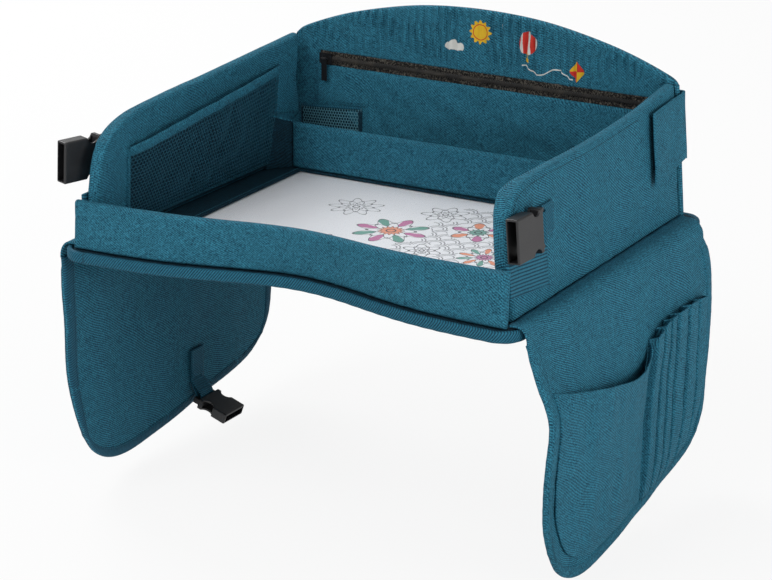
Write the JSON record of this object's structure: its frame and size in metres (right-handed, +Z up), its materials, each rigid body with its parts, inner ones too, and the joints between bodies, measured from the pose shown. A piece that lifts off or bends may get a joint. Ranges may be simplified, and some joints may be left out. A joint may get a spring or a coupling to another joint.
{
  "type": "car seat tray table",
  "caption": "Fabric play tray for a child's car seat: stiffened walls, clear drawing window, tablet trough, net and zip pockets, hanging side wings and strap buckles.",
  "frame": {"origin": "middle of the flat underside, where the tray rests on the child seat", "axes": "+X to the tray's right seen from the child's front edge, +Y from the curved front to the tall back wall, +Z up"},
  "size_m": [0.4819, 0.3526, 0.3835],
  "materials": {
    "fabric": "woven teal polyester",
    "lining": "dark teal woven lining",
    "net": "knitted net",
    "ribbing": "ribbed webbing",
    "board": "stiff sheet",
    "film": "clear flexible film",
    "sheet": "drawing paper",
    "black_plastic": "moulded",
    "zip_metal": "black enamel",
    "fastener": "hook and loop"
  },
  "bodies": {
    "base": {"base_underside": "lining", "base_board": "board", "base_binding": "ribbing", "base_floor": "fabric", "window_film": "film", "drawing_sheet": "sheet", "front_wall": "fabric", "left_wing_lip": "fabric", "right_wing_lip": "fabric"},
    "back_wall": {"back_wall_cover": "fabric", "back_wall_board": "board", "zip_tape_upper": "lining", "zip_tape_lower": "lining", "zip_coil": "black_plastic", "zip_pocket_panel": "fabric", "back_mesh_pocket": "net", "back_pocket_binding": "ribbing"},
    "zip_slider": {"zip_slider": "zip_metal"},
    "zip_pull": {"zip_pull": "black_plastic"},
    "divider": {"divider_cover": "fabric", "divider_board": "board", "left_divider_gusset": "fabric", "right_divider_gusset": "fabric"},
    "right_wall": {"right_wall_cover": "fabric", "right_wall_board": "board", "right_mesh_pocket": "net", "right_pocket_binding": "ribbing", "right_corner_band": "ribbing", "right_buckle_tab": "ribbing", "right_loop_patch": "fastener"},
    "right_buckle": {"right_buckle": "black_plastic"},
    "right_flap": {"right_flap": "fabric", "right_hook_patch": "fastener"},
    "right_wing": {"right_wing_panel": "fabric", "right_wing_binding": "ribbing", "right_book_pocket": "fabric", "right_leg_tab": "ribbing", "right_pen_sleeves": "fabric"},
    "right_leg_buckle": {"right_leg_buckle": "black_plastic"},
    "left_wall": {"left_wall_cover": "fabric", "left_wall_board": "board", "left_mesh_pocket": "net", "left_pocket_binding": "ribbing", "left_corner_band": "ribbing", "left_buckle_tab": "ribbing", "left_loop_patch": "fastener"},
    "left_buckle": {"left_buckle": "black_plastic"},
    "left_flap": {"left_flap": "fabric", "left_hook_patch": "fastener"},
    "left_wing": {"left_wing_panel": "fabric", "left_wing_binding": "ribbing", "left_book_pocket": "fabric", "left_leg_tab": "ribbing"},
    "left_leg_buckle": {"left_leg_buckle": "black_plastic"}
  },
  "joints": [
    {"name": "right_wall_fold", "type": "hinge", "parent": "base", "child": "right_wall", "pos_m": [0.19, -0.1595, 0.0116], "axis": [0.0184, -0.9998, 0], "range_deg": [0, 30], "deforming": ["right_divider_gusset"]},
    {"name": "right_buckle_swing", "type": "hinge", "parent": "right_wall", "child": "right_buckle", "pos_m": [0.20372, -0.11874, 0.07998], "axis": [-0.0697, -0.0013, 0.9976], "range_deg": [0, 95]},
    {"name": "right_flap_open", "type": "hinge", "parent": "back_wall", "child": "right_flap", "pos_m": [0.19361, 0.16782, 0.08746], "axis": [-0.0697, -0.0013, 0.9976], "range_deg": [0, 150]},
    {"name": "right_wing_swing", "type": "hinge", "parent": "base", "child": "right_wing", "pos_m": [0.2163, -0.1595, -0.003], "axis": [0, -1, 0], "range_deg": [-75, 75]},
    {"name": "right_leg_buckle_swing", "type": "hinge", "parent": "right_wing", "child": "right_leg_buckle", "pos_m": [0.2129, 0.0275, -0.184], "axis": [0, -1, 0], "range_deg": [-25, 70]},
    {"name": "left_wall_fold", "type": "hinge", "parent": "base", "child": "left_wall", "pos_m": [-0.19, -0.1595, 0.0116], "axis": [0.0184, 0.9998, 0], "range_deg": [0, 30], "deforming": ["left_divider_gusset"]},
    {"name": "left_buckle_swing", "type": "hinge", "parent": "left_wall", "child": "left_buckle", "pos_m": [-0.20491, -0.11872, 0.07971], "axis": [-0.0523, 0.001, -0.9986], "range_deg": [-15, 80]},
    {"name": "left_flap_open", "type": "hinge", "parent": "back_wall", "child": "left_flap", "pos_m": [-0.19493, 0.16785, 0.08728], "axis": [-0.0523, 0.001, -0.9986], "range_deg": [0, 150]},
    {"name": "left_wing_swing", "type": "hinge", "parent": "base", "child": "left_wing", "pos_m": [-0.2163, -0.1595, -0.003], "axis": [0, 1, 0], "range_deg": [-75, 75]},
    {"name": "left_leg_buckle_swing", "type": "hinge", "parent": "left_wing", "child": "left_leg_buckle", "pos_m": [-0.20689, 0.0275, -0.184], "axis": [0, 1, 0], "range_deg": [-25, 70]},
    {"name": "back_wall_fold", "type": "hinge", "parent": "base", "child": "back_wall", "pos_m": [0, 0.1665, 0.0116], "axis": [-1, 0, 0], "range_deg": [0, 90]},
    {"name": "divider_fold", "type": "hinge", "parent": "base", "child": "divider", "pos_m": [0, 0.1205, 0.0116], "axis": [1, 0, 0], "range_deg": [0, 90]},
    {"name": "zip_run", "type": "slide", "parent": "back_wall", "child": "zip_slider", "axis": [1, 0, 0], "range_m": [0, 0.309]},
    {"name": "pull_swing", "type": "hinge", "parent": "zip_slider", "child": "zip_pull", "pos_m": [-0.1555, 0.154, 0.106], "axis": [-1, 0, 0], "range_deg": [0, 100]}
  ],
  "couplings": [
    {"joint": "left_wall_fold", "follows": "right_wall_fold", "ratio": 1},
    {"joint": "divider_fold", "follows": "right_wall_fold", "ratio": 3}
  ]
}
